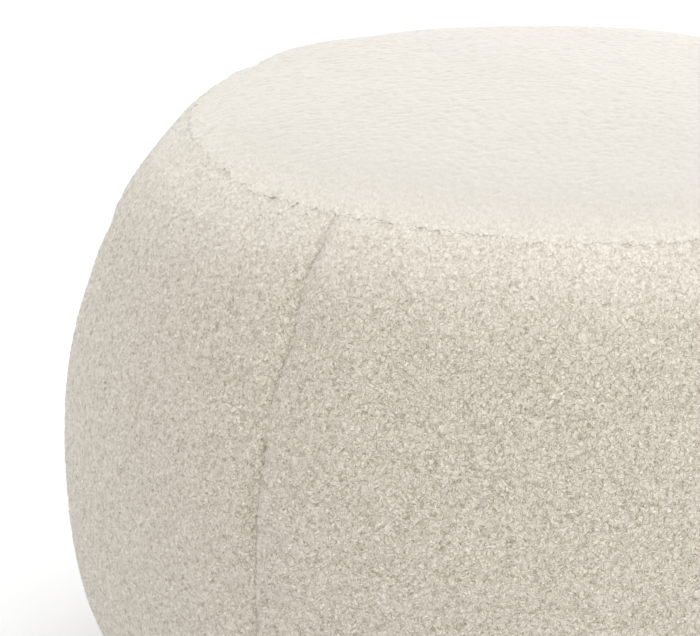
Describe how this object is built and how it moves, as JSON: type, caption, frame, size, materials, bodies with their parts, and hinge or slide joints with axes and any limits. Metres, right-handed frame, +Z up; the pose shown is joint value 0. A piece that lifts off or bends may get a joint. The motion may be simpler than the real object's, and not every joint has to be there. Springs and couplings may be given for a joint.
{
  "type": "round ottoman",
  "caption": "Round stuffed floor ottoman in curly-pile cloth, with a low crowned top, seamed barrel side and flat base; a footrest or low seat.",
  "frame": {"origin": "middle of the flat base, on the floor", "axes": "+Z up along the body's axis; -Y to the front, where an upright seam lies 34.5 degrees to the left"},
  "size_m": [0.5548, 0.5606, 0.3556],
  "materials": {
    "pile_cloth": "cream knitted pile of small loose curls, matt"
  },
  "bodies": {
    "root": {"base_panel": "pile_cloth", "side_panel_1": "pile_cloth", "side_panel_2": "pile_cloth", "side_panel_3": "pile_cloth", "side_panel_4": "pile_cloth", "side_panel_5": "pile_cloth", "side_panel_6": "pile_cloth", "top_panel": "pile_cloth"}
  },
  "joints": []
}
